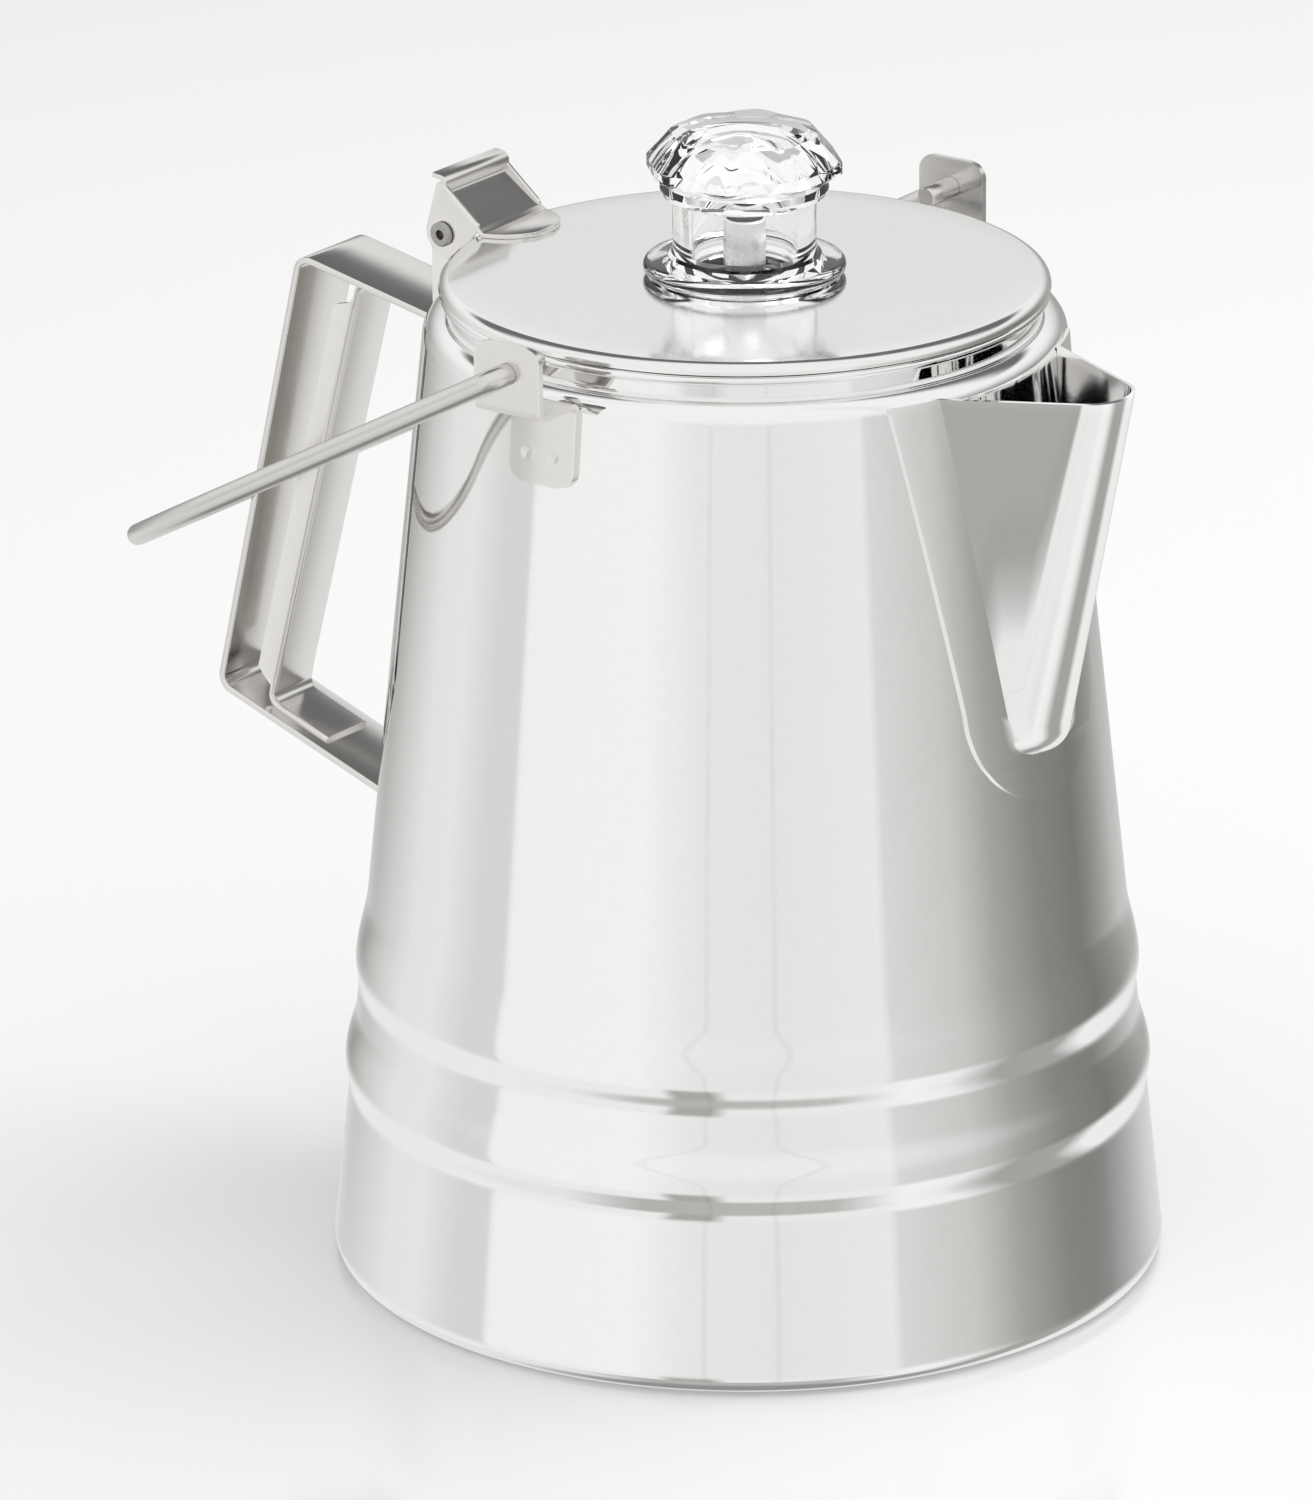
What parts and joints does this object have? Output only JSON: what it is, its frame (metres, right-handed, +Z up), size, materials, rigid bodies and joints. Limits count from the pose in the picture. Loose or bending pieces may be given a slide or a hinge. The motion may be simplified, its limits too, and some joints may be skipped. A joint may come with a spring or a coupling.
{
  "type": "coffee percolator",
  "caption": "Tapered stainless steel camping coffee percolator with folded spout, strap handle, swinging bail, hinged lid with glass knob, and pump with basket inside.",
  "frame": {"origin": "centre of the base, on the surface that the pot stands on", "axes": "+Z up, +X towards the spout, so the handle is at -X and the bail's ears are at -Y and +Y"},
  "size_m": [0.2222, 0.1724, 0.241],
  "materials": {
    "polished_steel": "mirror-polished stainless steel",
    "lid_steel": "polished stainless steel with a fine spun haze",
    "satin_steel": "satin stainless steel sheet",
    "wire_steel": "drawn stainless steel wire",
    "pin_steel": "rolled tubular rivet, slightly dark",
    "inner_steel": "plain pressed stainless steel",
    "clear_glass": "clear pressed glass"
  },
  "bodies": {
    "pot": {"body_shell": "polished_steel", "base_pan": "polished_steel", "spout": "polished_steel", "handle_strap": "satin_steel", "handle_grip": "satin_steel", "hinge_bracket": "satin_steel", "hinge_pin": "pin_steel", "bail_ear_near": "satin_steel", "bail_ear_far": "satin_steel"},
    "lid": {"lid_disc": "lid_steel", "lid_skirt": "inner_steel", "lid_lever": "satin_steel"},
    "knob": {"knob_glass": "clear_glass"},
    "bail": {"bail_wire": "wire_steel"},
    "pump": {"pump_tube": "inner_steel", "pump_foot": "inner_steel", "pump_collar": "inner_steel"},
    "basket": {"basket_cup": "inner_steel", "basket_sleeve": "inner_steel"},
    "spreader": {"basket_lid": "inner_steel"}
  },
  "joints": [
    {"name": "lid_hinge", "type": "hinge", "parent": "pot", "child": "lid", "pos_m": [-0.068, 0, 0.2092], "axis": [0, -1, 0], "range_deg": [0, 105]},
    {"name": "knob_twist", "type": "hinge", "parent": "lid", "child": "knob", "pos_m": [0, 0, 0.21], "axis": [0, 0, 1], "range_deg": [0, 90]},
    {"name": "bail_swing", "type": "hinge", "parent": "pot", "child": "bail", "pos_m": [-0.002, 0, 0.2086], "axis": [0, 1, 0], "range_deg": [0, 262]},
    {"name": "pump_lift", "type": "slide", "parent": "pot", "child": "pump", "axis": [0, 0, 1], "range_m": [0, 0.004]},
    {"name": "basket_lift", "type": "slide", "parent": "pump", "child": "basket", "axis": [0, 0, 1], "range_m": [0, 0.003]},
    {"name": "spreader_lift", "type": "slide", "parent": "basket", "child": "spreader", "axis": [0, 0, 1], "range_m": [0, 0.003]}
  ]
}
